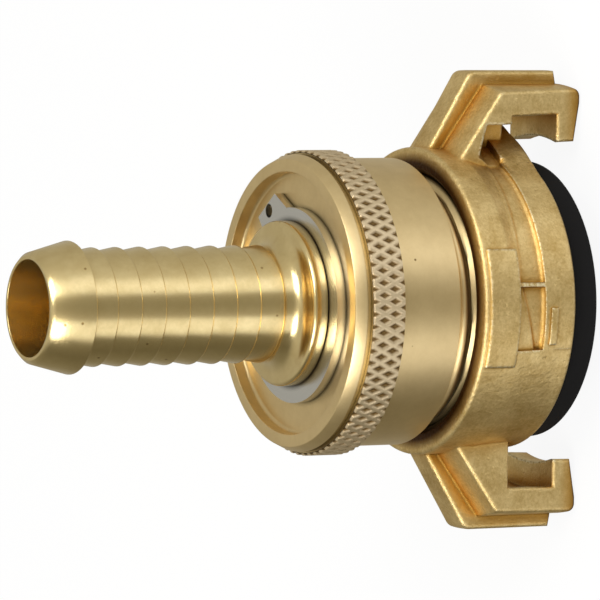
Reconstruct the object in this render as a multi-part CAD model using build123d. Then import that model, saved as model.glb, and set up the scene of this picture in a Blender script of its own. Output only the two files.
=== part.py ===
from build123d import *
from math import cos, radians, sin
import os

# Quick-claw hose coupling, suction and pressure kind, with a barbed tail for a 13 mm hose.
# It stands on its two claws. +Z is the waterway's axis and points at the hose, the claws lie at
# +X and -X, and Z = 0 is the front of the claw noses. All sizes are in millimetres.

# ---------------------------------------------------------------- hose tail, hose end
BORE_R = 5.8              # waterway, right through the tail
MOUTH_R = 6.2             # flat end of the tail, outer radius
MOUTH_ROUND = 0.5         # rounding between the flat end and the lead-in cone
LEAD_LENGTH = 5.3         # conical first barb, from the end of the tail to its crest
LEAD_CREST_R = 8.0
LEAD_FOOT_R = 6.7         # small end of the lead-in cone
BARB_COUNT = 8            # sawtooth barbs behind the first
BARB_PITCH = 3.17
BARB_CREST_R = 7.15
BARB_VALLEY_R = 6.6
BARB_DROP = 0.18          # length of each barb's steep side
NECK_LENGTH = 0.3         # plain length between the last barb and the root fillet
ROOT_FILLET = 2.1         # concave fillet into the spigot's end

# ---------------------------------------------------------------- hose tail, inner end
SPIGOT_R = 10.0           # turned spigot that the lock nut runs on
SPIGOT_ROUND = 0.6        # rounded outer end of the spigot
SPIGOT_TIP = 1.9          # spigot beyond the ring groove
GROOVE_DEPTH = 0.5        # groove of the retaining ring
SHOULDER_R = 12.6         # barrel that carries the thrust washer
SEAL_FLANGE_R = 16.6      # front flange that holds the seal
SEAL_FLANGE_T = 2.8
CHAMBER_R = 9.6           # wide front part of the waterway
CHAMBER_WALL_T = 3.6      # metal between the chamber's end and the shoulder, along the axis
CHAMBER_CONE = 3.8        # length of the cone from the chamber to the bore

# ---------------------------------------------------------------- retaining ring, washer, seal
RING_T = 1.2              # external ring for a 20 mm shaft
RING_WIDE = 2.65          # radial width opposite the gap
RING_NARROW = 1.9         # radial width at the gap
RING_GAP_ANGLE = 52.0     # where the gap lies, measured from +X towards +Y
RING_GAP_HALF = 12.5      # half the gap's angle
RING_LUG_LONG = 35.0      # angle from the lug's end face to its foot on the ring
RING_LUG_TIP = 22.0       # angle from the lug's end face to its highest corner
RING_LUG_HOLE = 12.5      # angle from the lug's end face to the plier hole
RING_LUG_RISE = 4.2       # height of the highest corner above the ring's inner edge
RING_LUG_END_RISE = 3.5   # height of the end face
RING_HOLE_RISE = 2.75     # height of the plier hole's centre
RING_HOLE_R = 0.85
WASHER_T = 1.0
SEAL_R = 17.0             # rubber face seal
SEAL_T = 3.7              # seal in front of its flange
SEAL_ROUND = 0.35
SEAL_HOLE_R = 9.0
SEAL_RIB_R = 12.6         # middle radius of the rib that snaps into the flange
SEAL_RIB_W = 2.8
SEAL_RIB_DEPTH = 1.5

# ---------------------------------------------------------------- knurled lock nut
SKIRT_R = 17.5            # plain turned skirt
SKIRT_LENGTH = 8.0
KNURL_R = 18.5            # over the knurl's crests
KNURL_DEPTH = 0.35
KNURL_LENGTH = 4.5
RIM_GROOVE_W = 0.45       # narrow groove between the knurl and the rim
RIM_GROOVE_DEPTH = 0.4
RIM_R = 18.05             # rim at the groove
RIM_FACE_R = 17.4         # rim's flat end face, outer radius
RIM_LENGTH = 1.35
RECESS_R = 15.9           # recess around the retaining ring
RECESS_DEPTH = 1.65
RECESS_ROUND = 0.5
WEB_T = 3.2               # web that the retaining ring holds
THREAD_ROOT_R = 15.55     # core of the screw thread
THREAD_LENGTH = 11.4      # threaded neck under the skirt
NUT_BARREL_GAP = 0.6      # air between the nut's bore and the tail's barrel

# ---------------------------------------------------------------- forged claw body
CLAW_REACH = 7.9          # claw noses stand this far in front of the body's ring
BODY_LENGTH = 12.8
SCREW_GAP = 2.7           # the nut stands this far out of the body
SCREW_OUT = 3.4           # further travel of the tail before its flange meets the thread
COLLAR_WALL = 1.55        # rear collar, outside the front bore's radius
COLLAR_EDGE = 0.5
COLLAR_FRONT = 7.6        # front edge of the collar, in front of it the ring tapers
RING_WALL = 1.05           # front ring's wall
RING_EDGE = 0.3
MOUTH_CHAMFER = 0.9       # chamfer that opens the rear of the internal thread
PAD_RISE = 0.25           # low forged pad on the collar
PAD_START, PAD_END = 68.0, 112.0
PAD_LENGTH = 4.2

# cam flange: it starts under each claw and the mating claw's nose runs along its back
CAM_START, CAM_END = -2.0, 106.0            # degrees from +X towards -Y
CAM_STEP = 7.0            # angle between the lofted sections
CAM_WALL = 1.15           # cam flange away from the claw, outside the front bore's radius
CAM_HUMP = 3.3            # it swells by this much where it leaves the claw
CAM_HUMP_END = 30.0
CAM_BACK_START, CAM_BACK_END = 4.6, 4.3    # height of its back above the body's front
CAM_EDGE = 0.3
CAM_BACK_SLOPE = 0.45     # the back face leans this much
CAM_PAD_START, CAM_PAD_END = 90.0, 104.0    # low pad near the end of the cam
CAM_PAD_FRONT = 2.4       # its front edge, above the body's front
CAM_PAD_RISE = 0.22

# the trough behind the cam, and its shallow end past the low rib that crosses it
TROUGH_WALL = 0.7         # wall left under the trough
TROUGH_START = 4.0
TROUGH_STOP = 81.3        # low rib across the trough
TROUGH_STOP_W = 1.5
TROUGH_CREASE = (6.0, 7.8)                  # forging crease, above the body's front
TROUGH_CREASE_RISE = 0.28
TROUGH_REAR = 9.1         # the trough runs out on the collar here
TROUGH_END_CREASE = (7.6, 5.6)
TROUGH_END_RISE = 0.4
TROUGH_END_REAR = 8.55    # small step up to the collar
TROUGH_END_STEP = 0.22

# claws
CLAW_TIP_R = 20.2         # noses' inner faces
CLAW_HOOK_DEPTH = 3.3     # from the noses' inner faces out to the underside of the arm
CLAW_ARM_T = 3.1          # thickness of the arm
CLAW_NOSE_T = 3.5         # nose thickness along the axis
CLAW_NOSE_TAPER = 0.85    # the nose's front face falls back this far at its tip
CLAW_LAND = 1.8           # flat outer part of the noses' front
CLAW_NOTCH = 6.8          # width of the notch between the nose and the body
CLAW_SHOULDER = 12.1      # rear end of the arm, from the noses' front
CLAW_BACK_FOOT = 18.0     # where the sloping back meets the collar
CLAW_NOSE_WIDTH = 11.0    # width at the noses' front
CLAW_WIDTH = 14.2         # width at the shoulder
CLAW_EDGE = 0.5
CLAW_CORNER = 1.0         # rounded front corner of the arm
RIB_RISE = 1.6            # stiffening rib on the claw's back, above the arm
RIB_WIDTH = 4.4
RIB_FRONT = 1.8
RIB_LEAN = 0.5            # lean of the rib's front end
RIB_REAR = 13.7
RIB_FOOT = 19.9
RIB_CORNER = 1.4
RIB_EDGE = 0.5

# ---------------------------------------------------------------- clearances
FIT = 0.05                # running fits: spigot in web, screw thread, ring in its groove
SEAT = 0.03               # flat faces that turn on each other
SLIDE = 0.25              # seal inside the body's front bore
WASHER_SIDE = 0.3         # washer's edges

# ---------------------------------------------------------------- heights along the axis
body_front = CLAW_REACH
body_rear = body_front + BODY_LENGTH
nut_shoulder = body_rear + SCREW_GAP
thread_end = nut_shoulder - THREAD_LENGTH
knurl_start = nut_shoulder + SKIRT_LENGTH
knurl_end = knurl_start + KNURL_LENGTH
rim_start = knurl_end + RIM_GROOVE_W
nut_rear = rim_start + RIM_LENGTH
web_rear = nut_rear - RECESS_DEPTH
web_front = web_rear - WEB_T
ring_front = web_rear + SEAT
groove_end = ring_front + RING_T + SEAT
spigot_end = groove_end + SPIGOT_TIP
washer_rear = web_front - SEAT
washer_front = washer_rear - WASHER_T
shoulder = washer_front - SEAT
barbs_end = spigot_end + ROOT_FILLET + NECK_LENGTH
lead_crest = barbs_end + BARB_COUNT * BARB_PITCH
tail_end = lead_crest + LEAD_LENGTH
flange_rear = thread_end - 1.4
flange_front = flange_rear - SEAL_FLANGE_T
seal_front = flange_front - SEAL_T

# ---------------------------------------------------------------- radii that follow from fits
groove_r = SPIGOT_R - GROOVE_DEPTH
ring_in_r = groove_r + FIT
web_bore_r = SPIGOT_R + FIT
nut_bore_r = SHOULDER_R + NUT_BARREL_GAP
body_thread_r = THREAD_ROOT_R + FIT
front_bore_r = SEAL_R + SLIDE
front_bore_end = flange_rear + SCREW_OUT + SEAT
collar_r = front_bore_r + COLLAR_WALL
ring_front_r = front_bore_r + RING_WALL
cam_plain_r = front_bore_r + CAM_WALL
trough_r = front_bore_r + TROUGH_WALL
claw_hook_r = CLAW_TIP_R + CLAW_HOOK_DEPTH
claw_arm_r = claw_hook_r + CLAW_ARM_T
rib_r = claw_arm_r + RIB_RISE


def profile(points):
    """Face in the XZ plane from (radius, height) points."""
    return Plane.XZ * make_face(Polyline(*points, close=True))


def turned(points):
    """Solid of revolution about Z from (radius, height) points."""
    return revolve(profile(points), Axis.Z)


def tube(inner, outer, low, high):
    return turned([(inner, low), (outer, low), (outer, high), (inner, high)])


def round_edges(solid, radius, places):
    """Round the circular edges that lie at the given (edge radius, height) places."""
    picked = [
        edge for edge in solid.edges().filter_by(GeomType.CIRCLE)
        for edge_r, height in places
        if abs(edge.radius - edge_r) < 0.01 and abs(edge.center().Z - height) < 0.01
    ]
    return fillet(picked, radius)


def sector(points, start, end):
    """Part of a solid of revolution, between two angles from +X towards -Y."""
    return Rot(0, 0, -end) * revolve(profile(points), Axis.Z, revolution_arc=end - start)


def polar(radius, angle):
    return (radius * cos(radians(angle)), radius * sin(radians(angle)))


def radial_section(angle, points):
    """Face of (radius, height) points in the half plane at an angle from +X towards -Y."""
    direction = (cos(radians(angle)), -sin(radians(angle)), 0)
    across = (-sin(radians(angle)), -cos(radians(angle)), 0)
    plane = Plane(origin=(0, 0, 0), x_dir=direction, z_dir=across)
    return plane * make_face(Polyline(*[(r, z) for r, z in points], close=True))


# ---------------------------------------------------------------- hose tail
def make_hose_tail():
    points = [(BORE_R, tail_end), (MOUTH_R, tail_end), (LEAD_FOOT_R, tail_end - MOUTH_ROUND)]
    crest_r = LEAD_CREST_R
    for number in range(BARB_COUNT + 1):
        crest = lead_crest - number * BARB_PITCH
        points += [(crest_r, crest), (BARB_VALLEY_R, crest - BARB_DROP)]
        crest_r = BARB_CREST_R
    points += [
        (BARB_VALLEY_R, spigot_end),
        (SPIGOT_R, spigot_end),
        (SPIGOT_R, groove_end),
        (groove_r, groove_end),
        (groove_r, web_rear),
        (SPIGOT_R, web_rear),
        (SPIGOT_R, shoulder),
        (SHOULDER_R, shoulder),
        (SHOULDER_R, flange_rear),
        (SEAL_FLANGE_R, flange_rear),
        (SEAL_FLANGE_R, flange_front),
        (CHAMBER_R, flange_front),
        (CHAMBER_R, shoulder - CHAMBER_WALL_T),
        (BORE_R, shoulder - CHAMBER_WALL_T + CHAMBER_CONE),
    ]
    tail = turned(points)
    tail = round_edges(tail, ROOT_FILLET, [(BARB_VALLEY_R, spigot_end)])
    tail = round_edges(tail, SPIGOT_ROUND, [(SPIGOT_R, spigot_end)])
    rib_in = SEAL_RIB_R - SEAL_RIB_W / 2
    rib_out = SEAL_RIB_R + SEAL_RIB_W / 2
    return tail - tube(rib_in, rib_out, flange_front - 1, flange_front + SEAL_RIB_DEPTH)


# ---------------------------------------------------------------- retaining ring
def make_retaining_ring():
    """Eccentric ring, narrow at its gap, with a lug and a plier hole at each end."""
    outer_r = ring_in_r + (RING_WIDE + RING_NARROW) / 2
    shift = (RING_WIDE - RING_NARROW) / 2
    flat = Pos(-shift, 0) * Circle(outer_r)
    lug = make_face(Polyline(
        polar(ring_in_r, RING_GAP_HALF),
        polar(ring_in_r + RING_LUG_END_RISE, RING_GAP_HALF),
        polar(ring_in_r + RING_LUG_RISE, RING_GAP_HALF + RING_LUG_TIP),
        polar(ring_in_r + RING_NARROW, RING_GAP_HALF + RING_LUG_LONG),
        polar(ring_in_r, RING_GAP_HALF + RING_LUG_LONG),
        close=True,
    ))
    lug -= Pos(*polar(ring_in_r + RING_HOLE_RISE, RING_GAP_HALF + RING_LUG_HOLE)) * Circle(RING_HOLE_R)
    gap = make_face(Polyline(
        (0, 0), polar(3 * outer_r, RING_GAP_HALF), polar(3 * outer_r, -RING_GAP_HALF), close=True))
    sides = polar(outer_r, RING_GAP_HALF + RING_LUG_LONG)
    flat -= make_face(Polyline((0, 0), sides, (3 * outer_r, 0), (sides[0], -sides[1]), close=True))
    flat += lug
    flat += mirror(lug, Plane.XZ)
    flat -= Circle(ring_in_r)
    flat -= gap
    ring = extrude(Rot(0, 0, RING_GAP_ANGLE) * flat, RING_T)
    return Pos(0, 0, ring_front) * ring


# ---------------------------------------------------------------- thrust washer
def make_thrust_washer():
    return tube(SPIGOT_R + WASHER_SIDE, nut_bore_r - WASHER_SIDE, washer_front, washer_rear)


# ---------------------------------------------------------------- face seal
def make_face_seal():
    seal = tube(SEAL_HOLE_R, SEAL_R, seal_front, flange_front)
    seal = round_edges(seal, SEAL_ROUND, [(SEAL_R, seal_front), (SEAL_HOLE_R, seal_front)])
    rib_in = SEAL_RIB_R - SEAL_RIB_W / 2
    rib_out = SEAL_RIB_R + SEAL_RIB_W / 2
    return seal + tube(rib_in, rib_out, flange_front - 0.5, flange_front + SEAL_RIB_DEPTH)


# ---------------------------------------------------------------- knurled lock nut
def make_knurled_nut():
    knurl_root = KNURL_R - KNURL_DEPTH
    nut = turned([
        (nut_bore_r, thread_end),
        (THREAD_ROOT_R, thread_end),
        (THREAD_ROOT_R, nut_shoulder),
        (SKIRT_R, nut_shoulder),
        (SKIRT_R, knurl_start),
        (knurl_root, knurl_start),
        (knurl_root, knurl_end),
        (RIM_R - RIM_GROOVE_DEPTH, knurl_end),
        (RIM_R - RIM_GROOVE_DEPTH, rim_start),
        (RIM_R, rim_start),
        (RIM_FACE_R, nut_rear),
        (RECESS_R, nut_rear),
        (RECESS_R, web_rear),
        (web_bore_r, web_rear),
        (web_bore_r, web_front),
        (nut_bore_r, web_front),
    ])
    nut = round_edges(nut, RECESS_ROUND, [(RECESS_R, web_rear)])
    return nut


# ---------------------------------------------------------------- forged claw body
def cam_radius(angle):
    """The cam swells towards the claw that it leaves."""
    if angle >= CAM_HUMP_END:
        return cam_plain_r
    near_claw = (CAM_HUMP_END - angle) / (CAM_HUMP_END - CAM_START)
    return cam_plain_r + CAM_HUMP * near_claw ** 1.2


def cam_back(angle):
    progress = (angle - CAM_START) / (CAM_END - CAM_START)
    return body_front + CAM_BACK_START + (CAM_BACK_END - CAM_BACK_START) * progress


def steps_between(start, end):
    """Evenly spread section angles, about CAM_STEP apart."""
    count = round((end - start) / CAM_STEP)
    return [start + (end - start) * step / count for step in range(count + 1)]


def make_cam():
    """Flange lofted through radial sections, since its radius and its back change along it."""
    root_r = front_bore_r + 0.3
    sections = []
    for angle in steps_between(CAM_START, CAM_END):
        outer = cam_radius(angle)
        back = cam_back(angle)
        sections.append(radial_section(angle, [
            (root_r, body_front),
            (outer - CAM_EDGE, body_front),
            (outer, body_front + CAM_EDGE),
            (outer, back - CAM_BACK_SLOPE - CAM_EDGE),
            (outer - CAM_EDGE, back - CAM_BACK_SLOPE),
            (root_r, back),
        ]))
    return loft(sections)


def make_trough(start, end, creases, crease_rise, rear, rear_r):
    """Cutter for the trough between the cam's back and the collar, with a crease on a slant."""
    crease_r = trough_r + crease_rise
    outer = collar_r + CAM_HUMP
    sections = []
    for angle in steps_between(start, end):
        back = cam_back(angle)
        progress = (angle - start) / (end - start)
        crease = body_front + creases[0] + (creases[1] - creases[0]) * progress
        sections.append(radial_section(angle, [
            (trough_r, back + CAM_EDGE),
            (trough_r + CAM_EDGE, back),
            (outer, back - CAM_BACK_SLOPE),
            (outer, rear),
            (rear_r, rear),
            ((rear_r + crease_r) / 2 - 0.1, (crease + rear) / 2),
            (crease_r - 0.08, crease + 0.25),
            (crease_r, crease),
            (trough_r, crease - 0.5),
        ]))
    return loft(sections)


def make_claw():
    """Hook claw at +X: nose, arm and sloping back are turned faces between flat tapered sides."""
    root_r = front_bore_r + 0.3
    notch_end = CLAW_NOSE_T + CLAW_NOTCH
    form = sector([
        (root_r, notch_end),
        (claw_hook_r, notch_end),
        (claw_hook_r, CLAW_NOSE_T),
        (CLAW_TIP_R, CLAW_NOSE_T),
        (CLAW_TIP_R, CLAW_NOSE_TAPER),
        (claw_arm_r - CLAW_LAND, 0),
        (claw_arm_r, 0),
        (claw_arm_r, CLAW_SHOULDER),
        (collar_r - 0.3, CLAW_BACK_FOOT),
        (root_r, CLAW_BACK_FOOT),
    ], -40, 40)
    form = round_edges(form, CLAW_CORNER, [(claw_arm_r, 0)])
    nose_half = CLAW_NOSE_WIDTH / 2
    half = CLAW_WIDTH / 2
    sides = make_face(Polyline(
        (-nose_half, 0), (nose_half, 0), (half, CLAW_SHOULDER), (half, CLAW_BACK_FOOT),
        (-half, CLAW_BACK_FOOT), (-half, CLAW_SHOULDER), close=True))
    claw = form & extrude(Plane.YZ * sides, rib_r)
    side_edges = [
        edge for edge in claw.edges()
        if abs(edge.center().Y) > nose_half - 1 and edge.center().X > CLAW_TIP_R - 2
    ]
    return fillet(side_edges, CLAW_EDGE)


def make_claw_rib():
    root_r = collar_r - 0.8
    form = sector([
        (root_r, CLAW_SHOULDER),
        (claw_arm_r - 1, CLAW_SHOULDER - 2),
        (claw_arm_r - 1, RIB_FRONT - RIB_LEAN),
        (rib_r, RIB_FRONT),
        (rib_r, RIB_REAR),
        (root_r, RIB_FOOT),
    ], -20, 20)
    form = round_edges(form, RIB_CORNER, [(rib_r, RIB_REAR)])
    rib = form & Box(2 * rib_r, RIB_WIDTH, 4 * rib_r)
    top_edges = [
        edge for edge in rib.edges()
        if abs(edge.center().Y) > RIB_WIDTH / 2 - 0.01 and edge.center().X > claw_arm_r - 3
    ]
    return fillet(top_edges, RIB_EDGE)


def make_claw_body():
    collar_front = body_front + COLLAR_FRONT
    ring = turned([
        (THREAD_ROOT_R, body_front),
        (ring_front_r, body_front),
        (ring_front_r, body_front + 2),
        (collar_r, collar_front),
        (collar_r, body_rear),
        (THREAD_ROOT_R, body_rear),
    ])
    ring = round_edges(ring, COLLAR_EDGE, [(collar_r, body_rear)])
    ring = round_edges(ring, RING_EDGE, [(ring_front_r, body_front)])
    pad_rear = body_rear - COLLAR_EDGE
    pad = sector([
        (collar_r - 0.5, pad_rear - PAD_LENGTH - PAD_RISE),
        (collar_r + PAD_RISE, pad_rear - PAD_LENGTH),
        (collar_r + PAD_RISE, pad_rear - PAD_RISE),
        (collar_r - 0.5, pad_rear),
    ], PAD_START, PAD_END)
    cam_pad_front = body_front + CAM_PAD_FRONT
    cam_pad_rear = cam_back(CAM_PAD_END) - CAM_BACK_SLOPE - CAM_EDGE
    cam_pad = sector([
        (cam_plain_r - 0.3, cam_pad_front - 0.3),
        (cam_plain_r + CAM_PAD_RISE, cam_pad_front + CAM_PAD_RISE),
        (cam_plain_r + CAM_PAD_RISE, cam_pad_rear),
        (cam_plain_r - 0.3, cam_pad_rear),
    ], CAM_PAD_START, CAM_PAD_END)
    cam = make_cam() + cam_pad
    claw = make_claw() + make_claw_rib()
    stop_half = TROUGH_STOP_W / 2
    trough = make_trough(
        TROUGH_START, TROUGH_STOP - stop_half, TROUGH_CREASE, TROUGH_CREASE_RISE,
        body_front + TROUGH_REAR, collar_r)
    trough += make_trough(
        TROUGH_STOP + stop_half, CAM_END, TROUGH_END_CREASE, TROUGH_END_RISE,
        body_front + TROUGH_END_REAR, collar_r - TROUGH_END_STEP)
    body = ring
    for turn in (0, 180):
        body += Rot(0, 0, turn) * cam
        body -= Rot(0, 0, turn) * trough
    for turn in (0, 180):
        body += Rot(0, 0, turn) * claw
        body += Rot(0, 0, turn) * pad
    body -= turned([
        (0, body_front - 1), (front_bore_r, body_front - 1), (front_bore_r, front_bore_end),
        (body_thread_r, front_bore_end), (body_thread_r, body_rear - MOUTH_CHAMFER),
        (body_thread_r + MOUTH_CHAMFER, body_rear), (body_thread_r + MOUTH_CHAMFER, body_rear + 1),
        (0, body_rear + 1),
    ])
    return body


parts = {
    "claw_body": make_claw_body(),
    "knurled_nut": make_knurled_nut(),
    "hose_tail": make_hose_tail(),
    "retaining_ring": make_retaining_ring(),
    "thrust_washer": make_thrust_washer(),
    "face_seal": make_face_seal(),
}

os.makedirs("parts", exist_ok=True)
for name, solid in parts.items():
    export_step(solid, f"parts/{name}.step")
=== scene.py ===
import math

import bmesh
import bpy
from mathutils import Matrix, Vector


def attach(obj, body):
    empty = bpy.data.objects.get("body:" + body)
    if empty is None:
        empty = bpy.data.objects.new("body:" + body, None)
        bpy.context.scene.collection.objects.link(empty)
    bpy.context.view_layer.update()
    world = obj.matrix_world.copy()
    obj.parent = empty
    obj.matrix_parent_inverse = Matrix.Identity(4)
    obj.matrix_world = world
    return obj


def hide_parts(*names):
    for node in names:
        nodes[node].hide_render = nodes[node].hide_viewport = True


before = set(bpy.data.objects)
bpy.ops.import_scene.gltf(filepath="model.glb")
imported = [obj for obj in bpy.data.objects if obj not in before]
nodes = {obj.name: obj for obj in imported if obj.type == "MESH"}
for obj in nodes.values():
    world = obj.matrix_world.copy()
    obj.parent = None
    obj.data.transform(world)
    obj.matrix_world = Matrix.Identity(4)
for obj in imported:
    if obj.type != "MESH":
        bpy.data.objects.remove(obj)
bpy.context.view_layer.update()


# ------------------------------------------------------------------ paper table
# A wide sheet of white paper that the coupling stands on. The eye sees it almost pure white, with a
# faint soft shadow, and the metal doesn't see it: what metal mirrors is the tent around the set.

scene = bpy.context.scene
MM = 0.001


def linear(hex_colour):
    """An sRGB hex colour as linear RGBA."""
    channels = [int(hex_colour[i:i + 2], 16) / 255 for i in (0, 2, 4)]
    straight = [c / 12.92 if c <= 0.04045 else ((c + 0.055) / 1.055) ** 2.4 for c in channels]
    return (*straight, 1.0)


def new_material(name):
    material = bpy.data.materials.new(name)
    material.use_nodes = True
    material.node_tree.nodes.clear()
    return material


def node(owner, kind, settings=None, inputs=None):
    """Adds a shader node. An input is a value, or an output socket to link it to."""
    made = owner.node_tree.nodes.new(kind)
    for key, value in (settings or {}).items():
        setattr(made, key, value)
    for key, value in (inputs or {}).items():
        if isinstance(value, bpy.types.NodeSocket):
            owner.node_tree.links.new(value, made.inputs[key])
        else:
            made.inputs[key].default_value = value
    return made


def new_object(name, form):
    """Makes a bmesh an object of the scene."""
    mesh = bpy.data.meshes.new(name)
    form.to_mesh(mesh)
    form.free()
    made = bpy.data.objects.new(name, mesh)
    scene.collection.objects.link(made)
    return made


TABLE_HALF_WIDTH = 3.0
TABLE_DROP = 0.2 * MM
PAPER_WHITENESS = 0.92

# Matt paper: no gloss at all, and all but white to the camera.
paper = new_material("white_paper")
paper_matt = node(paper, "ShaderNodeBsdfDiffuse", inputs={"Color": linear("F4F4F3")})
paper_white = node(paper, "ShaderNodeEmission", inputs={"Color": linear("FFFFFF"), "Strength": 1.0})
paper_rays = node(paper, "ShaderNodeLightPath")
paper_seen = node(paper, "ShaderNodeMath", {"operation": "MULTIPLY"}, {
    0: paper_rays.outputs["Is Camera Ray"],
    1: PAPER_WHITENESS,
})
paper_look = node(paper, "ShaderNodeMixShader", inputs={
    0: paper_seen.outputs[0],
    1: paper_matt.outputs[0],
    2: paper_white.outputs[0],
})
node(paper, "ShaderNodeOutputMaterial", inputs={"Surface": paper_look.outputs[0]})

table_form = bmesh.new()
bmesh.ops.create_grid(table_form, x_segments=1, y_segments=1, size=TABLE_HALF_WIDTH)
table = new_object("table", table_form)
table.data.materials.append(paper)
table.location.z = -TABLE_DROP
table.visible_glossy = False


# ------------------------------------------------------------------ camera
# A long lens looks down at the hose end, turned so that the hose tail points left and the claws
# stand up and down.

CAMERA_AZIMUTH = math.radians(3.645)
CAMERA_HEIGHT = math.radians(28.158)
CAMERA_ROLL = math.radians(0.595)
CAMERA_PLACE = Vector((0.0398, -0.61906, 0.36788))
CAMERA_LENS = 348.9

camera_data = bpy.data.cameras.new("camera")
camera_data.lens = CAMERA_LENS
camera_data.sensor_width = 36
camera_data.clip_start = 0.05
camera_data.clip_end = 20
camera = bpy.data.objects.new("camera", camera_data)
scene.collection.objects.link(camera)
towards_camera = Vector((
    math.sin(CAMERA_AZIMUTH) * math.cos(CAMERA_HEIGHT),
    -math.cos(CAMERA_AZIMUTH) * math.cos(CAMERA_HEIGHT),
    math.sin(CAMERA_HEIGHT),
))
claw_up = Vector((1, 0, 0))
claw_up = (claw_up - towards_camera * claw_up.dot(towards_camera)).normalized()
claw_right = claw_up.cross(towards_camera)
view_up = claw_up * math.cos(CAMERA_ROLL) - claw_right * math.sin(CAMERA_ROLL)
view_right = claw_right * math.cos(CAMERA_ROLL) + claw_up * math.sin(CAMERA_ROLL)
camera_turn = Matrix((view_right, view_up, towards_camera)).transposed().to_4x4()
camera.matrix_world = Matrix.Translation(CAMERA_PLACE) @ camera_turn
scene.camera = camera
scene.view_settings.view_transform = "Standard"


# ------------------------------------------------------------------ light tent
# A white studio tent with two soft strips of light, one to each side of the lens, a darker gap
# between them and grey flags beyond. The levels go round the upright axis of the coupling.

TENT_LEVELS = (
    (-180, 0.46), (-135, 0.24), (-95, 0.15), (-62, 0.20), (-55, 1.00), (-46, 1.15), (-28, 1.10),
    (-22, 0.40), (0, 0.30), (20, 0.36), (26, 1.10), (38, 1.25), (48, 1.05),
    (58, 0.70), (85, 0.55), (115, 0.46), (180, 0.46),
)
TENT_BRIGHTEST = 1.5
TENT_WARM_GREEN = 0.05
TENT_WARM_BLUE = 0.22
TENT_TOP_LEVEL = 0.55
TENT_TOP_FROM = math.sin(math.radians(25))
TENT_TOP_FULL = math.sin(math.radians(60))
TENT_CENTRE = math.degrees(CAMERA_AZIMUTH)


def tent_tone(level):
    """The dimmer a part of the tent is, the warmer it looks."""
    share = level / TENT_BRIGHTEST
    return (share, share * level ** TENT_WARM_GREEN, share * level ** TENT_WARM_BLUE, 1.0)


tent = bpy.data.worlds.new("light_tent")
scene.world = tent
tent.use_nodes = True
tent.node_tree.nodes.clear()
tent_way = node(tent, "ShaderNodeTexCoord")
tent_axes = node(tent, "ShaderNodeSeparateXYZ", inputs={0: tent_way.outputs["Generated"]})
tent_front = node(tent, "ShaderNodeMath", {"operation": "MULTIPLY"}, {0: tent_axes.outputs["Y"], 1: -1.0})
tent_turn = node(tent, "ShaderNodeMath", {"operation": "ARCTAN2"}, {
    0: tent_axes.outputs["X"],
    1: tent_front.outputs[0],
})
tent_part = node(tent, "ShaderNodeMapRange", inputs={
    "Value": tent_turn.outputs[0],
    "From Min": -math.pi,
    "From Max": math.pi,
})
tent_ramp = node(tent, "ShaderNodeValToRGB", inputs={0: tent_part.outputs[0]})
tent_stops = tent_ramp.color_ramp.elements
for number, (angle, level) in enumerate(TENT_LEVELS):
    place = min(max((angle + TENT_CENTRE + 180) / 360, 0.0), 1.0)
    stop = tent_stops[number] if number < 2 else tent_stops.new(place)
    stop.position = place
    stop.color = tent_tone(level)
tent_height = node(tent, "ShaderNodeMapRange", {"interpolation_type": "SMOOTHSTEP"}, {
    "Value": tent_axes.outputs["Z"],
    "From Min": TENT_TOP_FROM,
    "From Max": TENT_TOP_FULL,
})
tent_cloth = node(tent, "ShaderNodeMix", {"data_type": "RGBA"}, {
    0: tent_height.outputs[0],
    6: tent_ramp.outputs["Color"],
    7: tent_tone(TENT_TOP_LEVEL),
})
tent_glow = node(tent, "ShaderNodeBackground", inputs={
    "Color": tent_cloth.outputs[2],
    "Strength": TENT_BRIGHTEST,
})
tent_backdrop = node(tent, "ShaderNodeBackground", inputs={"Color": linear("FFFFFF"), "Strength": 1.0})
tent_rays = node(tent, "ShaderNodeLightPath")
tent_look = node(tent, "ShaderNodeMixShader", inputs={
    0: tent_rays.outputs["Is Camera Ray"],
    1: tent_glow.outputs[0],
    2: tent_backdrop.outputs[0],
})
node(tent, "ShaderNodeOutputWorld", inputs={"Surface": tent_look.outputs[0]})

LAMP_SIZE = 0.5
LAMP_AWAY = 1.0
LAMP_WATTS = 5.0

for lamp_name, lamp_azimuth, lamp_height in (("lamp_right", 50, 50), ("lamp_left", -45, 40)):
    lamp_light = bpy.data.lights.new(lamp_name, "AREA")
    lamp_light.shape = "SQUARE"
    lamp_light.size = LAMP_SIZE
    lamp_light.energy = LAMP_WATTS
    lamp = bpy.data.objects.new(lamp_name, lamp_light)
    scene.collection.objects.link(lamp)
    away = Vector((
        math.sin(math.radians(lamp_azimuth)) * math.cos(math.radians(lamp_height)),
        -math.cos(math.radians(lamp_azimuth)) * math.cos(math.radians(lamp_height)),
        math.sin(math.radians(lamp_height)),
    ))
    lamp.location = away * LAMP_AWAY
    lamp.rotation_euler = away.to_track_quat("Z", "Y").to_euler()


# ------------------------------------------------------------------ hose tail
# The barbed tail that the hose pushes onto. It is turned from brass bar in one piece: lead-in cone,
# eight sawtooth barbs, spigot that the nut runs on, shoulder, and at the front the flange for the
# seal. The tool leaves fine rings all along it, and a bright turned skin.

SHARP_ANGLE = math.radians(35)


def finish_piece(name, form, material, body, replaced=(), smooth=True):
    """Makes a bmesh a finished piece of the object. A smooth one keeps its sharp edges."""
    piece = new_object(name, form)
    piece.data.materials.append(material)
    if smooth:
        piece.data.shade_smooth()
        piece.data.set_sharp_from_angle(angle=SHARP_ANGLE)
    else:
        piece.data.shade_flat()
    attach(piece, body)
    if replaced:
        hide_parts(*replaced)


LATHE_STEPS = 240
ROUNDING_STEPS = 4
MERGE_DISTANCE = 0.001 * MM


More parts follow.
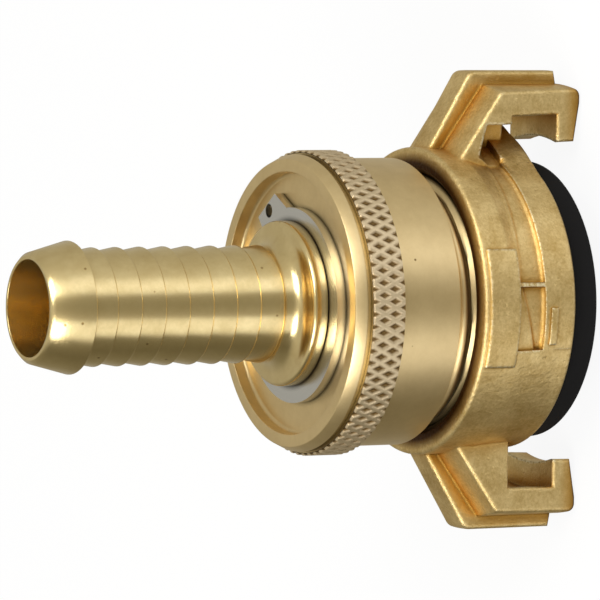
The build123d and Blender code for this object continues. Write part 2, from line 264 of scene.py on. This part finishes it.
def turn_on_lathe(outline, rounded):
    """Spins a closed outline of (radius, height) in mm, with some of its corners rounded first.

    rounded has (rounding, corner numbers) pairs.
    """
    form = bmesh.new()
    corners = [form.verts.new((radius * MM, 0, height * MM)) for radius, height in outline]
    form.faces.new(corners)
    for rounding, numbers in rounded:
        bmesh.ops.bevel(
            form,
            geom=[corners[number] for number in numbers],
            offset=rounding * MM,
            offset_type="OFFSET",
            affect="VERTICES",
            segments=ROUNDING_STEPS,
            profile=0.5,
            material=-1,
        )
    bmesh.ops.delete(form, geom=form.faces[:], context="FACES_ONLY")
    bmesh.ops.spin(
        form,
        geom=form.verts[:] + form.edges[:],
        cent=(0, 0, 0),
        axis=(0, 0, 1),
        angle=math.tau,
        steps=LATHE_STEPS,
        use_merge=True,
    )
    bmesh.ops.remove_doubles(form, verts=form.verts[:], dist=MERGE_DISTANCE)
    bmesh.ops.recalc_face_normals(form, faces=form.faces[:])
    return form


def radius_and_height(material, place):
    """How far a point lies from the upright axis, and how high."""
    axes = node(material, "ShaderNodeSeparateXYZ", inputs={0: place})
    flat = node(material, "ShaderNodeCombineXYZ", inputs={0: axes.outputs["X"], 1: axes.outputs["Y"]})
    radius = node(material, "ShaderNodeVectorMath", {"operation": "LENGTH"}, {0: flat.outputs[0]})
    return radius.outputs["Value"], axes.outputs["Z"]


TOOL_FEED = 0.16    # the tool's real feed is about half of this, too fine to show


def turning_marks(material, place):
    """The rings that the lathe tool leaves round the upright axis, as noise on radius and height."""
    radius, height = radius_and_height(material, place)
    along = node(material, "ShaderNodeCombineXYZ", inputs={0: radius, 2: height})
    rings = node(material, "ShaderNodeTexNoise", inputs={
        "Vector": along.outputs[0],
        "Scale": 1 / (TOOL_FEED * MM),
        "Detail": 3.0,
        "Roughness": 0.65,
    })
    return rings.outputs["Fac"]


def handling_nicks(material, place, spacing, size):
    """Small nicks from parts that knock together in a bin: 0 in a nick, 1 on clean metal."""
    cells = node(material, "ShaderNodeTexVoronoi", inputs={
        "Vector": place,
        "Scale": 1 / (spacing * MM),
    })
    nick = node(material, "ShaderNodeMapRange", inputs={
        "Value": cells.outputs["Distance"],
        "From Min": 0.5 * size / spacing,
        "From Max": size / spacing,
    })
    return nick.outputs[0]


NICK_SPACING = 2.9
NICK_SIZE = 0.2
TURNED_CLOUD = 3.0
TURNED_HOLLOW = 6.0

# Bright turned brass: glossy pale yellow with fine rings that soften each streak of light, and a few
# nicks. Painted shade browns the bore and the hollows, where brass only mirrors brass.
turned = new_material("bright_turned_brass")
turned_place = node(turned, "ShaderNodeTexCoord").outputs["Object"]
turned_rings = turning_marks(turned, turned_place)
turned_nick = handling_nicks(turned, turned_place, NICK_SPACING, NICK_SIZE)
turned_cloud = node(turned, "ShaderNodeTexNoise", inputs={
    "Vector": turned_place,
    "Scale": 1 / (TURNED_CLOUD * MM),
    "Detail": 5.0,
    "Roughness": 0.7,
})
turned_tint = node(turned, "ShaderNodeValToRGB", inputs={0: turned_cloud.outputs["Fac"]})
turned_tint.color_ramp.elements[0].position = 0.3
turned_tint.color_ramp.elements[0].color = linear("E0C88E")
turned_tint.color_ramp.elements[1].position = 0.7
turned_tint.color_ramp.elements[1].color = linear("F0DAA2")
turned_colour = node(turned, "ShaderNodeMix", {"data_type": "RGBA"}, {
    0: turned_nick,
    6: linear("A98C55"),
    7: turned_tint.outputs["Color"],
})
# Painted shade: the bore and hollows turn browner where ambient occlusion finds them enclosed.
turned_open = node(turned, "ShaderNodeAmbientOcclusion", {"samples": 8}, {
    "Distance": TURNED_HOLLOW * MM,
})
turned_shade_mask = node(turned, "ShaderNodeMapRange", inputs={
    "Value": turned_open.outputs["AO"],
    "From Min": 0.1,
    "From Max": 0.75,
})
turned_colour_with_shade = node(turned, "ShaderNodeMix", {"data_type": "RGBA"}, {
    0: turned_shade_mask.outputs[0],
    6: linear("B08A48"),
    7: turned_colour.outputs[2],
})
turned_height = node(turned, "ShaderNodeMath", {"operation": "ADD"}, {0: turned_nick, 1: turned_rings})
turned_bump = node(turned, "ShaderNodeBump", inputs={
    "Strength": 0.4,
    "Distance": 0.016 * MM,
    "Height": turned_height.outputs[0],
})
turned_gloss = node(turned, "ShaderNodeMapRange", inputs={
    "Value": turned_cloud.outputs["Fac"],
    "From Min": 0.3,
    "From Max": 0.7,
    "To Min": 0.26,
    "To Max": 0.17,
})
turned_skin = node(turned, "ShaderNodeBsdfPrincipled", inputs={
    "Base Color": turned_colour_with_shade.outputs[2],
    "Metallic": 1.0,
    "Roughness": turned_gloss.outputs[0],
    "Normal": turned_bump.outputs[0],
})
node(turned, "ShaderNodeOutputMaterial", inputs={"Surface": turned_skin.outputs[0]})

TAIL_END = 72.27
MOUTH_R = 6.2
MOUTH_BEVEL = 0.5
LEAD_CREST = 66.97
LEAD_CREST_R = 8.0
BARB_COUNT = 8
BARB_PITCH = 3.17
BARB_DROP = 0.18
BARB_VALLEY_R = 6.6
BARB_CREST_R = 7.15
BORE_R = 5.8
SPIGOT_END = 39.21
SPIGOT_R = 10.0
RING_GROOVE_REAR = 37.31
RING_GROOVE_FRONT = 36.05
RING_GROOVE_R = 9.5
SHOULDER_REAR = 31.79
SHOULDER_R = 12.6
FLANGE_REAR = 10.6
FLANGE_FRONT = 7.8
FLANGE_R = 16.6
SEAL_GROOVE_END = 9.3
SEAL_GROOVE_OUTER_R = 14.0
SEAL_GROOVE_INNER_R = 11.2
CHAMBER_R = 9.6
CHAMBER_END = 28.19
CHAMBER_CONE_END = 31.99

MOUTH_ROUNDING = 0.06
CREST_ROUNDING = 0.2
ROOT_FILLET = 2.0
SPIGOT_ROUNDING = 0.45
GROOVE_ROUNDING = 0.12

tail_outline = [
    (BORE_R, TAIL_END),
    (MOUTH_R, TAIL_END),
    (MOUTH_R + MOUTH_BEVEL, TAIL_END - MOUTH_BEVEL),
]
crest_corners = []
crest_r = LEAD_CREST_R
for number in range(BARB_COUNT + 1):
    crest = LEAD_CREST - number * BARB_PITCH
    crest_corners.append(len(tail_outline))
    tail_outline += [(crest_r, crest), (BARB_VALLEY_R, crest - BARB_DROP)]
    crest_r = BARB_CREST_R
root_corner = len(tail_outline)
tail_outline += [
    (BARB_VALLEY_R, SPIGOT_END),
    (SPIGOT_R, SPIGOT_END),
    (SPIGOT_R, RING_GROOVE_REAR),
    (RING_GROOVE_R, RING_GROOVE_REAR),
    (RING_GROOVE_R, RING_GROOVE_FRONT),
    (SPIGOT_R, RING_GROOVE_FRONT),
    (SPIGOT_R, SHOULDER_REAR),
    (SHOULDER_R, SHOULDER_REAR),
    (SHOULDER_R, FLANGE_REAR),
    (FLANGE_R, FLANGE_REAR),
    (FLANGE_R, FLANGE_FRONT),
    (SEAL_GROOVE_OUTER_R, FLANGE_FRONT),
    (SEAL_GROOVE_OUTER_R, SEAL_GROOVE_END),
    (SEAL_GROOVE_INNER_R, SEAL_GROOVE_END),
    (SEAL_GROOVE_INNER_R, FLANGE_FRONT),
    (CHAMBER_R, FLANGE_FRONT),
    (CHAMBER_R, CHAMBER_END),
    (BORE_R, CHAMBER_CONE_END),
]
tail_form = turn_on_lathe(tail_outline, [
    (MOUTH_ROUNDING, [0, 1]),
    (CREST_ROUNDING, crest_corners),
    (ROOT_FILLET, [root_corner]),
    (SPIGOT_ROUNDING, [root_corner + 1]),
    (GROOVE_ROUNDING, [root_corner + 2]),
])
finish_piece("turned_tail", tail_form, turned, "tail", ["hose_tail"])


# ------------------------------------------------------------------ thrust washer
# A plain washer of moulded acetal. It lies between the nut's web and the shoulder of the tail, so
# that the nut turns without dragging the hose round.


def dress_node(name, material):
    """Gives a CAD node its finish."""
    dressed = nodes[name]
    dressed.data.materials.clear()
    dressed.data.materials.append(material)


# Moulded acetal: milky white, half glossy.
plastic = new_material("moulded_acetal")
plastic_skin = node(plastic, "ShaderNodeBsdfPrincipled", inputs={
    "Base Color": linear("E9E6DC"),
    "Roughness": 0.45,
    "IOR": 1.48,
})
node(plastic, "ShaderNodeOutputMaterial", inputs={"Surface": plastic_skin.outputs[0]})

dress_node("thrust_washer", plastic)


# ------------------------------------------------------------------ lock nut
# The nut that clamps the seal, turned from brass bar: satin skirt, dished hose end with a web that
# runs on the tail, and a neck whose screw thread pulls it into the claw body. The handling of loose
# parts leaves small dark specks on the skirt.

SATIN_NICK_SPACING = 4.35
SATIN_HOLLOW = 1.2

# Satin turned brass: the same rings on a duller skin, which spreads the light into broad soft bands,
# and painted shade that darkens the corners.
satin = new_material("satin_turned_brass")
satin_place = node(satin, "ShaderNodeTexCoord").outputs["Object"]
satin_rings = turning_marks(satin, satin_place)
satin_nick = handling_nicks(satin, satin_place, SATIN_NICK_SPACING, NICK_SIZE)
satin_cloud = node(satin, "ShaderNodeTexNoise", inputs={
    "Vector": satin_place,
    "Scale": 1 / (TURNED_CLOUD * MM),
    "Detail": 6.0,
    "Roughness": 0.7,
})
satin_tint = node(satin, "ShaderNodeValToRGB", inputs={0: satin_cloud.outputs["Fac"]})
satin_tint.color_ramp.elements[0].position = 0.3
satin_tint.color_ramp.elements[0].color = linear("E2C893")
satin_tint.color_ramp.elements[1].position = 0.7
satin_tint.color_ramp.elements[1].color = linear("EED5A0")
satin_colour = node(satin, "ShaderNodeMix", {"data_type": "RGBA"}, {
    0: satin_nick,
    6: linear("7A6236"),
    7: satin_tint.outputs["Color"],
})
# Painted shade: the corners and the recess go dark olive where ambient occlusion finds them enclosed.
satin_open = node(satin, "ShaderNodeAmbientOcclusion", {"samples": 8}, {
    "Distance": SATIN_HOLLOW * MM,
})
satin_shade_mask = node(satin, "ShaderNodeMapRange", inputs={
    "Value": satin_open.outputs["AO"],
    "From Min": 0.2,
    "From Max": 0.7,
})
satin_colour_with_shade = node(satin, "ShaderNodeMix", {"data_type": "RGBA"}, {
    0: satin_shade_mask.outputs[0],
    6: linear("665A34"),
    7: satin_colour.outputs[2],
})
satin_height = node(satin, "ShaderNodeMath", {"operation": "ADD"}, {0: satin_nick, 1: satin_rings})
satin_bump = node(satin, "ShaderNodeBump", inputs={
    "Strength": 0.3,
    "Distance": 0.02 * MM,
    "Height": satin_height.outputs[0],
})
satin_skin = node(satin, "ShaderNodeBsdfPrincipled", inputs={
    "Base Color": satin_colour_with_shade.outputs[2],
    "Metallic": 1.0,
    "Roughness": 0.38,
    "Normal": satin_bump.outputs[0],
})
node(satin, "ShaderNodeOutputMaterial", inputs={"Surface": satin_skin.outputs[0]})

NUT_REAR = 37.7
RIM_START = 36.35
RIM_R = 18.05
RIM_FACE_R = 17.4
RIM_GROOVE_R = 17.65
KNURL_HIGH = 35.7
KNURL_LOW = 31.4
KNURL_ROOT_R = 18.15
SKIRT_LOW = 23.4
SKIRT_R = 17.5
RECESS_R = 15.9
WEB_REAR = 36.05
WEB_FRONT = 32.85
WEB_BORE_R = 10.05
NUT_BORE_R = 13.2
THREAD_LOW = 12.0
THREAD_CREST_R = 15.55
THREAD_PITCH = 2.0
THREAD_DEPTH = 0.55
THREAD_RINGS = 12
THREAD_FLANK = 2.6    # half a groove takes the pitch divided by this
NUT_ROUNDING = 0.1
RECESS_ROUNDING = 0.5
TOLERANCE = 0.01 * MM

nut_outline = [
    (NUT_BORE_R, THREAD_LOW),
    (THREAD_CREST_R, THREAD_LOW),
    (THREAD_CREST_R, SKIRT_LOW),
    (SKIRT_R, SKIRT_LOW),
    (SKIRT_R, KNURL_LOW),
    (KNURL_ROOT_R, KNURL_LOW),
    (KNURL_ROOT_R, KNURL_HIGH),
    (RIM_GROOVE_R, KNURL_HIGH),
    (RIM_GROOVE_R, RIM_START),
    (RIM_R, RIM_START),
    (RIM_FACE_R, NUT_REAR),
    (RECESS_R, NUT_REAR),
    (RECESS_R, WEB_REAR),
    (WEB_BORE_R, WEB_REAR),
    (WEB_BORE_R, WEB_FRONT),
    (NUT_BORE_R, WEB_FRONT),
]
nut_form = turn_on_lathe(nut_outline, [
    (NUT_ROUNDING, [3, 9, 10, 11]),
    (RECESS_ROUNDING, [12]),
])


def on_neck(vert):
    return abs(vert.co.xy.length - THREAD_CREST_R * MM) < TOLERANCE


neck_edges = [
    edge for edge in nut_form.edges
    if all(on_neck(vert) for vert in edge.verts)
    and abs(edge.verts[0].co.z - edge.verts[1].co.z) > TOLERANCE
]
neck_rings = round((SKIRT_LOW - THREAD_LOW) / THREAD_PITCH * THREAD_RINGS)
bmesh.ops.subdivide_edges(nut_form, edges=neck_edges, cuts=neck_rings - 1, use_grid_fill=True)
for vert in nut_form.verts:
    height = vert.co.z / MM
    if on_neck(vert) and THREAD_LOW < height < SKIRT_LOW - TOLERANCE / MM:
        turn = math.atan2(vert.co.y, vert.co.x) / math.tau
        along = (height / THREAD_PITCH - turn) % 1.0
        in_groove = max(1.0 - abs(along - 0.5) * THREAD_FLANK, 0.0)
        vert.co.xy = vert.co.xy.normalized() * (THREAD_CREST_R - THREAD_DEPTH * in_groove) * MM
finish_piece("turned_nut", nut_form, satin, "nut", ["knurled_nut"])


# ------------------------------------------------------------------ knurl
# The grip of the nut: two crossed families of ridges rolled into its rim as a net, with a diamond
# pit in each mesh. Rolling leaves the ridges matt and pinkish, and painted shade darkens the pits.

KNURL_CREST_R = 18.5
KNURL_FLOOR_R = 18.22
KNURL_PITS = 77
KNURL_ROW = 1.43
KNURL_STEPS = 10
KNURL_RINGS = 30
RIDGE_HALF = 0.16
PIT_STEEPNESS = 1.5
KNURL_GRAIN = 0.3

# Rolled brass: the ridges are matt and pinkish, and painted shade makes the pits darker brown.
knurled = new_material("rolled_brass")
# Painted shade: the deeper a point lies in a pit, the darker brown it is painted.
knurled_pit = node(knurled, "ShaderNodeAttribute", {"attribute_name": "pit_depth"})
knurled_tint_and_shade = node(knurled, "ShaderNodeValToRGB", inputs={0: knurled_pit.outputs["Fac"]})
knurled_tint_and_shade.color_ramp.elements[0].position = 0.0
knurled_tint_and_shade.color_ramp.elements[0].color = linear("E6D2AE")
knurled_tint_and_shade.color_ramp.elements[1].position = 0.75
knurled_tint_and_shade.color_ramp.elements[1].color = linear("846A42")
knurled_place = node(knurled, "ShaderNodeTexCoord").outputs["Object"]
knurled_grain = node(knurled, "ShaderNodeTexNoise", inputs={
    "Vector": knurled_place,
    "Scale": 1 / (KNURL_GRAIN * MM),
    "Detail": 3.0,
})
knurled_bump = node(knurled, "ShaderNodeBump", inputs={
    "Strength": 0.5,
    "Distance": 0.05 * MM,
    "Height": knurled_grain.outputs["Fac"],
})
knurled_skin = node(knurled, "ShaderNodeBsdfPrincipled", inputs={
    "Base Color": knurled_tint_and_shade.outputs["Color"],
    "Metallic": 1.0,
    "Roughness": 0.5,
    "Normal": knurled_bump.outputs[0],
})
node(knurled, "ShaderNodeOutputMaterial", inputs={"Surface": knurled_skin.outputs[0]})

knurl_form = bmesh.new()
knurl_foot = knurl_form.verts.new((KNURL_CREST_R * MM, 0, KNURL_LOW * MM))
knurl_top = knurl_form.verts.new((KNURL_CREST_R * MM, 0, KNURL_HIGH * MM))
knurl_edge = knurl_form.edges.new((knurl_foot, knurl_top))
bmesh.ops.subdivide_edges(knurl_form, edges=[knurl_edge], cuts=KNURL_RINGS - 1)
bmesh.ops.spin(
    knurl_form,
    geom=knurl_form.verts[:] + knurl_form.edges[:],
    cent=(0, 0, 0),
    axis=(0, 0, 1),
    angle=math.tau,
    steps=KNURL_PITS * KNURL_STEPS,
    use_merge=True,
)
pit_layer = knurl_form.verts.layers.float.new("pit_depth")
for vert in knurl_form.verts:
    height = vert.co.z / MM
    round_way = math.atan2(vert.co.y, vert.co.x) / math.tau * KNURL_PITS
    up_way = (height - KNURL_LOW) / (2 * KNURL_ROW)
    from_ridges = min(
        abs((round_way + up_way) % 1.0 - 0.5),
        abs((round_way - up_way) % 1.0 - 0.5),
    )
    depth = PIT_STEEPNESS * (from_ridges - RIDGE_HALF) / (0.5 - RIDGE_HALF)
    depth = min(max(depth, 0.0), 1.0)
    vert[pit_layer] = depth
    if min(height - KNURL_LOW, KNURL_HIGH - height) < TOLERANCE / MM:
        depth = 1.0
    radius = KNURL_CREST_R + (KNURL_FLOOR_R - KNURL_CREST_R) * depth
    vert.co.xy = vert.co.xy.normalized() * radius * MM
bmesh.ops.recalc_face_normals(knurl_form, faces=knurl_form.faces[:])
finish_piece("knurl", knurl_form, knurled, "nut")


# ------------------------------------------------------------------ retaining ring
# A circlip stamped from spring steel, in a groove of the spigot, that keeps the nut on the tail. Its
# flat faces are bright, with the grey of tempered steel.

STEEL_GRAIN = 0.25
STEEL_HOLLOW = 0.8

# Tempered spring steel: cool pale grey and nearly a mirror, with painted shade that turns it black where
# it sits in the recess.
steel = new_material("stamped_spring_steel")
steel_place = node(steel, "ShaderNodeTexCoord").outputs["Object"]
steel_grain = node(steel, "ShaderNodeTexNoise", inputs={
    "Vector": steel_place,
    "Scale": 1 / (STEEL_GRAIN * MM),
    "Detail": 3.0,
})
# Painted shade: near black where ambient occlusion finds the ring enclosed by the recess.
steel_open = node(steel, "ShaderNodeAmbientOcclusion", {"samples": 8}, {
    "Distance": STEEL_HOLLOW * MM,
})
steel_shade_mask = node(steel, "ShaderNodeMapRange", inputs={
    "Value": steel_open.outputs["AO"],
    "From Min": 0.45,
    "From Max": 0.95,
})
steel_tint_and_shade = node(steel, "ShaderNodeMix", {"data_type": "RGBA"}, {
    0: steel_shade_mask.outputs[0],
    6: linear("3A3733"),
    7: linear("D8D7D4"),
})
steel_bump = node(steel, "ShaderNodeBump", inputs={
    "Strength": 0.4,
    "Distance": 0.02 * MM,
    "Height": steel_grain.outputs["Fac"],
})
steel_skin = node(steel, "ShaderNodeBsdfPrincipled", inputs={
    "Base Color": steel_tint_and_shade.outputs[2],
    "Metallic": 1.0,
    "Roughness": 0.25,
    "Normal": steel_bump.outputs[0],
})
node(steel, "ShaderNodeOutputMaterial", inputs={"Surface": steel_skin.outputs[0]})

dress_node("retaining_ring", steel)


# ------------------------------------------------------------------ face seal
# The moulded black rubber ring on the tail's front flange. It meets its twin face to face when two
# halves are joined. Matt, with a few specks of dust.

RUBBER_DUST = 1.9

# Moulded rubber: black and matt, so that it shows as one dark band.
rubber = new_material("moulded_rubber")
rubber_place = node(rubber, "ShaderNodeTexCoord").outputs["Object"]
rubber_dust = node(rubber, "ShaderNodeTexVoronoi", inputs={
    "Vector": rubber_place,
    "Scale": 1 / (RUBBER_DUST * MM),
})
rubber_speck = node(rubber, "ShaderNodeMapRange", inputs={
    "Value": rubber_dust.outputs["Distance"],
    "From Min": 0.04,
    "From Max": 0.08,
})
rubber_tint = node(rubber, "ShaderNodeMix", {"data_type": "RGBA"}, {
    0: rubber_speck.outputs[0],
    6: linear("4C4A46"),
    7: linear("0D0C0D"),
})
rubber_skin = node(rubber, "ShaderNodeBsdfPrincipled", inputs={
    "Base Color": rubber_tint.outputs[2],
    "Roughness": 0.8,
    "IOR": 1.52,
    "Specular IOR Level": 0.2,
})
node(rubber, "ShaderNodeOutputMaterial", inputs={"Surface": rubber_skin.outputs[0]})

dress_node("face_seal", rubber)


# ------------------------------------------------------------------ claw body
# The half of the coupling that hooks onto its twin: ring, two hook claws and cam flange in one hot
# forging of brass, tumbled bright and then bored for the nut and the seal. Behind each claw's arm the
# cam's root runs on as a hollow, and painted shade darkens the rear mouth where the nut's neck enters.

FORGED_GRAIN = 0.35
FORGED_LUMP = 1.1
FORGED_PIT = 1.3
FORGED_CLOUD = 4.0
FORGED_HOLLOW = 3.0
FORGED_EDGE = 0.6
FORGED_WEAR = 0.45
FORGED_RELIEF = 0.08
MOUTH_SHADE_FROM_Z = 20.3
MOUTH_SHADE_FADE_Z = 0.3
MOUTH_SHADE_TO_R = 18.2
MOUTH_SHADE_FADE_R = 1.2

# Tumbled forged brass: fine grained and a little pitted, which breaks every reflection up into
# speckle. It is mottled yellow, with painted shade that browns and blackens its hollows and gaps,
# the brown partly oxide scale, and pale on its outer edges, partly from tumbling polish and partly
# from a painted highlight.
forged = new_material("tumbled_forged_brass")
forged_place = node(forged, "ShaderNodeTexCoord").outputs["Object"]
forged_grain = node(forged, "ShaderNodeTexNoise", inputs={
    "Vector": forged_place,
    "Scale": 1 / (FORGED_GRAIN * MM),
    "Detail": 4.0,
    "Roughness": 0.65,
})
forged_lump = node(forged, "ShaderNodeTexNoise", inputs={
    "Vector": forged_place,
    "Scale": 1 / (FORGED_LUMP * MM),
    "Detail": 3.0,
    "Roughness": 0.6,
})
forged_pits = node(forged, "ShaderNodeTexVoronoi", inputs={
    "Vector": forged_place,
    "Scale": 1 / (FORGED_PIT * MM),
})
forged_pit = node(forged, "ShaderNodeMapRange", inputs={
    "Value": forged_pits.outputs["Distance"],
    "From Min": 0.05,
    "From Max": 0.16,
})
forged_cloud = node(forged, "ShaderNodeTexNoise", inputs={
    "Vector": forged_place,
    "Scale": 1 / (FORGED_CLOUD * MM),
    "Detail": 6.0,
    "Roughness": 0.7,
})
forged_mottle = node(forged, "ShaderNodeMath", {"operation": "MULTIPLY_ADD"}, {
    0: forged_grain.outputs["Fac"],
    1: 0.6,
    2: forged_cloud.outputs["Fac"],
})
forged_tint = node(forged, "ShaderNodeValToRGB", inputs={0: forged_mottle.outputs[0]})
forged_tint.color_ramp.elements[0].position = 0.6
forged_tint.color_ramp.elements[0].color = linear("C9A968")
forged_tint.color_ramp.elements[1].position = 0.98
forged_tint.color_ramp.elements[1].color = linear("F0D598")
forged_round = node(forged, "ShaderNodeBevel", {"samples": 8}, {"Radius": FORGED_EDGE * MM})
forged_thin = node(forged, "ShaderNodeAmbientOcclusion", {
    "samples": 8,
    "inside": True,
    "only_local": True,
}, {"Distance": FORGED_WEAR * MM})
forged_corner = node(forged, "ShaderNodeMapRange", inputs={
    "Value": forged_thin.outputs["AO"],
    "From Min": 0.9,
    "From Max": 0.6,
})
forged_patch = node(forged, "ShaderNodeMapRange", inputs={
    "Value": forged_grain.outputs["Fac"],
    "From Min": 0.44,
    "From Max": 0.54,
})
forged_edge = node(forged, "ShaderNodeMath", {"operation": "MULTIPLY"}, {
    0: forged_corner.outputs[0],
    1: forged_patch.outputs[0],
})
# The pale tint on outer edges is partly polish from tumbling and partly painted highlight.
forged_polish_and_highlight = node(forged, "ShaderNodeMix", {"data_type": "RGBA"}, {
    0: forged_edge.outputs[0],
    6: forged_tint.outputs["Color"],
    7: linear("FBEBC0"),
})
# Painted shade: hollows and gaps go brown to near black where ambient occlusion finds them enclosed; the
# brown is partly oxide scale.
forged_open = node(forged, "ShaderNodeAmbientOcclusion", {"samples": 12}, {
    "Distance": FORGED_HOLLOW * MM,
})
forged_scale_and_shade = node(forged, "ShaderNodeValToRGB", inputs={0: forged_open.outputs["AO"]})
forged_scale_and_shade.color_ramp.elements[0].position = 0.2
forged_scale_and_shade.color_ramp.elements[0].color = linear("2E1A06")
forged_scale_and_shade.color_ramp.elements[1].position = 0.72
forged_scale_and_shade.color_ramp.elements[1].color = linear("CC9A42")
forged_mid_shade = forged_scale_and_shade.color_ramp.elements.new(0.42)
forged_mid_shade.color = linear("86602A")
forged_hollow_shade_mask = node(forged, "ShaderNodeMapRange", inputs={
    "Value": forged_open.outputs["AO"],
    "From Min": 0.62,
    "From Max": 0.95,
})
forged_colour = node(forged, "ShaderNodeMix", {"data_type": "RGBA"}, {
    0: forged_hollow_shade_mask.outputs[0],
    6: forged_scale_and_shade.outputs["Color"],
    7: forged_polish_and_highlight.outputs[2],
})
forged_radius, forged_level = radius_and_height(forged, forged_place)
# Painted shade: the rear mouth inside the bore, above this height and within this radius, is painted dark
# brown.
mouth_shade_high = node(forged, "ShaderNodeMapRange", inputs={
    "Value": forged_level,
    "From Min": (MOUTH_SHADE_FROM_Z - MOUTH_SHADE_FADE_Z) * MM,
    "From Max": MOUTH_SHADE_FROM_Z * MM,
})
mouth_shade_inside = node(forged, "ShaderNodeMapRange", inputs={
    "Value": forged_radius,
    "From Min": MOUTH_SHADE_TO_R * MM,
    "From Max": (MOUTH_SHADE_TO_R - MOUTH_SHADE_FADE_R) * MM,
})
mouth_shade = node(forged, "ShaderNodeMath", {"operation": "MULTIPLY"}, {
    0: mouth_shade_high.outputs[0],
    1: mouth_shade_inside.outputs[0],
})
forged_mouth_shaded = node(forged, "ShaderNodeMix", {"data_type": "RGBA"}, {
    0: mouth_shade.outputs[0],
    6: forged_colour.outputs[2],
    7: linear("4E300E"),
})
forged_rise = node(forged, "ShaderNodeMath", {"operation": "MULTIPLY_ADD"}, {
    0: forged_lump.outputs["Fac"],
    1: 1.6,
    2: forged_grain.outputs["Fac"],
})
forged_height = node(forged, "ShaderNodeMath", {"operation": "MULTIPLY_ADD"}, {
    0: forged_pit.outputs[0],
    1: 0.8,
    2: forged_rise.outputs[0],
})
forged_bump = node(forged, "ShaderNodeBump", inputs={
    "Strength": 0.6,
    "Distance": FORGED_RELIEF * MM,
    "Height": forged_height.outputs[0],
    "Normal": forged_round.outputs[0],
})
forged_gloss = node(forged, "ShaderNodeMapRange", inputs={
    "Value": forged_edge.outputs[0],
    "To Min": 0.46,
    "To Max": 0.28,
})
forged_skin = node(forged, "ShaderNodeBsdfPrincipled", inputs={
    "Base Color": forged_mouth_shaded.outputs[2],
    "Metallic": 1.0,
    "Roughness": forged_gloss.outputs[0],
    "Normal": forged_bump.outputs[0],
})
node(forged, "ShaderNodeOutputMaterial", inputs={"Surface": forged_skin.outputs[0]})

# The hollow behind a claw's arm is cut by a form that is spun round the axis. Its floor swells as the
# cam does, and its angles go clockwise from the X axis, seen from above.
RELIEF_START = math.radians(11)
RELIEF_END = math.radians(24)
RELIEF_STEPS = 12
RELIEF_FRONT = 9.0
RELIEF_STEP = 12.15
RELIEF_STEP_SLOPE = 0.1
RELIEF_CREASE = 13.8
RELIEF_REAR = 15.2
RELIEF_ROOF_REAR = 14.1
RELIEF_ROOF_R = 22.8
RELIEF_TROUGH = 0.85
CAM_R = 18.4
CAM_HUMP = 3.3
CAM_HUMP_START = math.radians(-2)
CAM_HUMP_END = math.radians(30)
CAM_HUMP_POWER = 1.2

body_form = bmesh.new()
body_form.from_mesh(nodes["claw_body"].data)
bmesh.ops.remove_doubles(body_form, verts=body_form.verts[:], dist=MERGE_DISTANCE)
body_blank = new_object("body_blank", body_form)

relief_form = bmesh.new()
relief_outline = [
    relief_form.verts.new((radius * MM, 0, height * MM))
    for radius, height in (
        (CAM_R, RELIEF_FRONT),
        (CAM_R, RELIEF_STEP),
        (CAM_R - RELIEF_TROUGH, RELIEF_STEP + RELIEF_STEP_SLOPE),
        (CAM_R - RELIEF_TROUGH, RELIEF_CREASE),
        (CAM_R, RELIEF_REAR),
        (RELIEF_ROOF_R, RELIEF_ROOF_REAR),
        (RELIEF_ROOF_R, RELIEF_FRONT),
    )
]
relief_face = relief_form.faces.new(relief_outline)
bmesh.ops.rotate(
    relief_form,
    verts=relief_form.verts[:],
    cent=(0, 0, 0),
    matrix=Matrix.Rotation(-RELIEF_START, 3, "Z"),
)
bmesh.ops.spin(
    relief_form,
    geom=[relief_face] + relief_face.edges[:] + relief_face.verts[:],
    cent=(0, 0, 0),
    axis=(0, 0, -1),
    angle=RELIEF_END - RELIEF_START,
    steps=RELIEF_STEPS,
    use_duplicate=False,
)
for vert in relief_form.verts:
    radius = vert.co.xy.length
    if radius < RELIEF_ROOF_R * MM - TOLERANCE:
        angle = math.atan2(-vert.co.y, vert.co.x)
        near_claw = (CAM_HUMP_END - angle) / (CAM_HUMP_END - CAM_HUMP_START)
        swell = CAM_HUMP * max(near_claw, 0) ** CAM_HUMP_POWER
        vert.co.xy = vert.co.xy.normalized() * (radius + swell * MM)
bmesh.ops.recalc_face_normals(relief_form, faces=relief_form.faces[:])
other_side = bmesh.ops.duplicate(
    relief_form,
    geom=relief_form.verts[:] + relief_form.edges[:] + relief_form.faces[:],
)
bmesh.ops.rotate(
    relief_form,
    verts=[part for part in other_side["geom"] if isinstance(part, bmesh.types.BMVert)],
    cent=(0, 0, 0),
    matrix=Matrix.Rotation(math.pi, 3, "Z"),
)
relief = new_object("relief", relief_form)

cut = body_blank.modifiers.new("relief", "BOOLEAN")
cut.operation = "DIFFERENCE"
cut.solver = "EXACT"
cut.object = relief
cut_form = bmesh.new()
cut_form.from_mesh(body_blank.evaluated_get(bpy.context.evaluated_depsgraph_get()).to_mesh())
body_blank.to_mesh_clear()
bpy.data.objects.remove(body_blank)
bpy.data.objects.remove(relief)

# The cut leaves long thin triangles that smooth shading would darken, so the faces stay flat, and the
# material's own bevel rounds the edges between them.
finish_piece("forged_body", cut_form, forged, "body", ["claw_body"], smooth=False)
